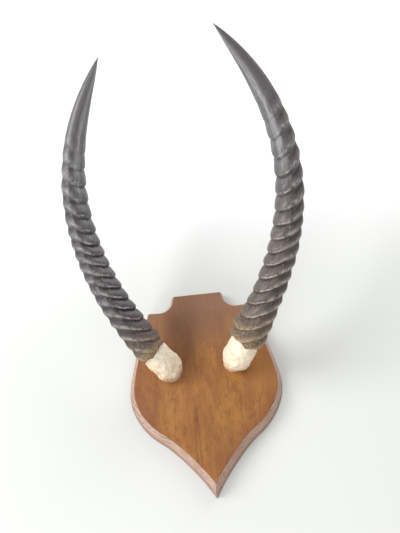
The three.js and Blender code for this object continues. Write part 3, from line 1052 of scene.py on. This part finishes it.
class Core:
    """A bony core's form, from its foot on the plaque to its end in the sheath."""

    def __init__(self, size, horn, board):
        self.size = size
        self.horn = horn
        self.seed = horn["core_seed"]
        self.axis = Axis(size, horn, board)
        self.cuts = [(Vector(facing).normalized(), distance * MM)
                     for facing, distance in horn["cuts"]]
        end = size.socket_end - CORE_END_GAP
        bare = [i * CORE_ROW for i in range(CORE_ROWS)]
        plug = [blend(bare[-1], end, (i + 1) / PLUG_ROWS) for i in range(PLUG_ROWS)]
        self.places = [0] + bare + plug + [end]

    def radius(self, s, angle):
        foot = 1 - self.horn["foot_tuck"] * math.exp(-s / CORE_TUCK_HEIGHT)
        lumps = sum(depth * math.sin(number * angle + s / climb + start)
                    for depth, number, climb, start in CORE_WAVES)
        lumps += sum(depth * around(angle, lobes, s / step, self.seed + seed)
                     for depth, lobes, step, seed in CORE_LUMPS)
        lumps *= 1 - smoothstep(s, *CORE_CALMS)
        bare = self.horn["core_radius"] * MM * foot * (1 + lumps)
        return blend(bare, self.size.plug_radius, smoothstep(s, *CORE_NARROWS))

    def wrap(self, row, angle):
        s = self.places[row]
        is_end = row in (0, len(self.places) - 1)
        point = self.axis.point(s, angle, 0 if is_end else self.radius(s, angle))
        for normal, distance in self.cuts:
            point -= normal * max((point - self.axis.foot).dot(normal) - distance, 0)
        along = self.axis.along(s)
        floor = self.axis.foot.z + self.size.core_gap + CORE_UNDERSIDE_RISE * s
        if row <= 1 or point.z < floor:
            point += along * ((floor - point.z) / along.z)
        return point, Vector((math.sin(angle), math.cos(angle), s)), 0, 0


class MOUNTEDHORNS_OT_add_cores(bpy.types.Operator):
    """Add the two bony cores"""

    bl_idname = "mounted_horns.add_cores"
    bl_label = "Add Bony Cores"
    SIDES = 120

    def execute(self, context):
        settings = context.scene.mounted_horns
        for side, horn in HORNS.items():
            bone = weathered_bone(f"{side}_bone", settings.finish, horn["stained"])
            core = Core(settings.horn, horn, settings.shield.thickness)
            bm = wrapped_grid(len(core.places), self.SIDES, core.wrap)
            finished_piece(f"{side}_bony_core", bm, bone, f"{side}_core")
        return {"FINISHED"}


# -------------------- the stage

def soft_light(name, place, aim, size, power):
    light = bpy.data.lights.new(name, "AREA")
    light.shape = "DISK"
    light.size = size
    light.energy = power
    lamp = bpy.data.objects.new(name, light)
    lamp.location = place
    lamp.rotation_euler = (Vector(aim) - Vector(place)).to_track_quat("-Z", "Y").to_euler()
    bpy.context.scene.collection.objects.link(lamp)


class MOUNTEDHORNS_OT_set_stage(bpy.types.Operator):
    """Set up the table, the soft lights and the camera"""

    bl_idname = "mounted_horns.set_stage"
    bl_label = "Set Stage"

    def execute(self, context):
        scene = context.scene
        stage = scene.mounted_horns.stage
        self.add_table(scene, stage)
        self.add_camera(scene, stage)
        for name, (place, aim, size, power) in LIGHTS.items():
            soft_light(name, place, aim, size, getattr(stage, power))
        scene.world = bpy.data.worlds.new("white_room")
        scene.world.use_nodes = True
        background = scene.world.node_tree.nodes["Background"]
        background.inputs["Color"].default_value = (1, 1, 1, 1)
        background.inputs["Strength"].default_value = stage.sky
        scene.view_settings.view_transform = "Standard"
        return {"FINISHED"}

    @staticmethod
    def add_table(scene, stage):
        bm = bmesh.new()
        bmesh.ops.create_grid(bm, x_segments=8, y_segments=8, size=TABLE_HALF_SIZE)
        bmesh.ops.translate(bm, verts=bm.verts, vec=(0, 0, -TABLE_GAP))
        mesh = bpy.data.meshes.new("table")
        bm.to_mesh(mesh)
        bm.free()
        mesh.materials.append(pale_table(stage.table_near, stage.table_far))
        table = bpy.data.objects.new("table", mesh)
        scene.collection.objects.link(table)

    @staticmethod
    def add_camera(scene, stage):
        data = bpy.data.cameras.new("camera")
        data.sensor_fit = "VERTICAL"
        data.sensor_height = SENSOR_HEIGHT
        data.lens = stage.lens
        data.clip_start = 0.01
        camera = bpy.data.objects.new("camera", data)
        sight = Vector(stage.camera_target) - Vector(stage.camera_place)
        turned = sight.to_track_quat("-Z", "Y").to_matrix()
        turned = turned @ Matrix.Rotation(stage.camera_roll, 3, "Z")
        camera.matrix_world = Matrix.Translation(stage.camera_place) @ turned.to_4x4()
        scene.collection.objects.link(camera)
        scene.camera = camera


class MOUNTEDHORNS_PT_pieces(bpy.types.Panel):
    """Lists the pieces, their sizes and their colours"""

    bl_idname = "MOUNTEDHORNS_PT_pieces"
    bl_label = "Mounted Horns"
    bl_space_type = "VIEW_3D"
    bl_region_type = "UI"
    bl_category = "Mounted Horns"

    def draw(self, context):
        settings = context.scene.mounted_horns
        for operator in STEPS:
            self.layout.operator(operator.bl_idname)
        for group in (settings.shield, settings.horn, settings.finish, settings.stage):
            box = self.layout.box()
            for name in group.__annotations__:
                box.prop(group, name)


STEPS = (
    MOUNTEDHORNS_OT_add_shield,
    MOUNTEDHORNS_OT_add_cores,
    MOUNTEDHORNS_OT_add_horns,
    MOUNTEDHORNS_OT_set_stage,
)
CLASSES = (ShieldSizes, HornSizes, Finishes, StageSettings, MountedHorns, *STEPS,
           MOUNTEDHORNS_PT_pieces)


def register():
    for cls in CLASSES:
        bpy.utils.register_class(cls)
    bpy.types.Scene.mounted_horns = PointerProperty(type=MountedHorns)


def unregister():
    del bpy.types.Scene.mounted_horns
    for cls in reversed(CLASSES):
        bpy.utils.unregister_class(cls)


def main():
    register()
    bpy.ops.mounted_horns.add_shield()
    bpy.ops.mounted_horns.add_cores()
    bpy.ops.mounted_horns.add_horns()
    bpy.ops.mounted_horns.set_stage()


if __name__ == "__main__":
    main()
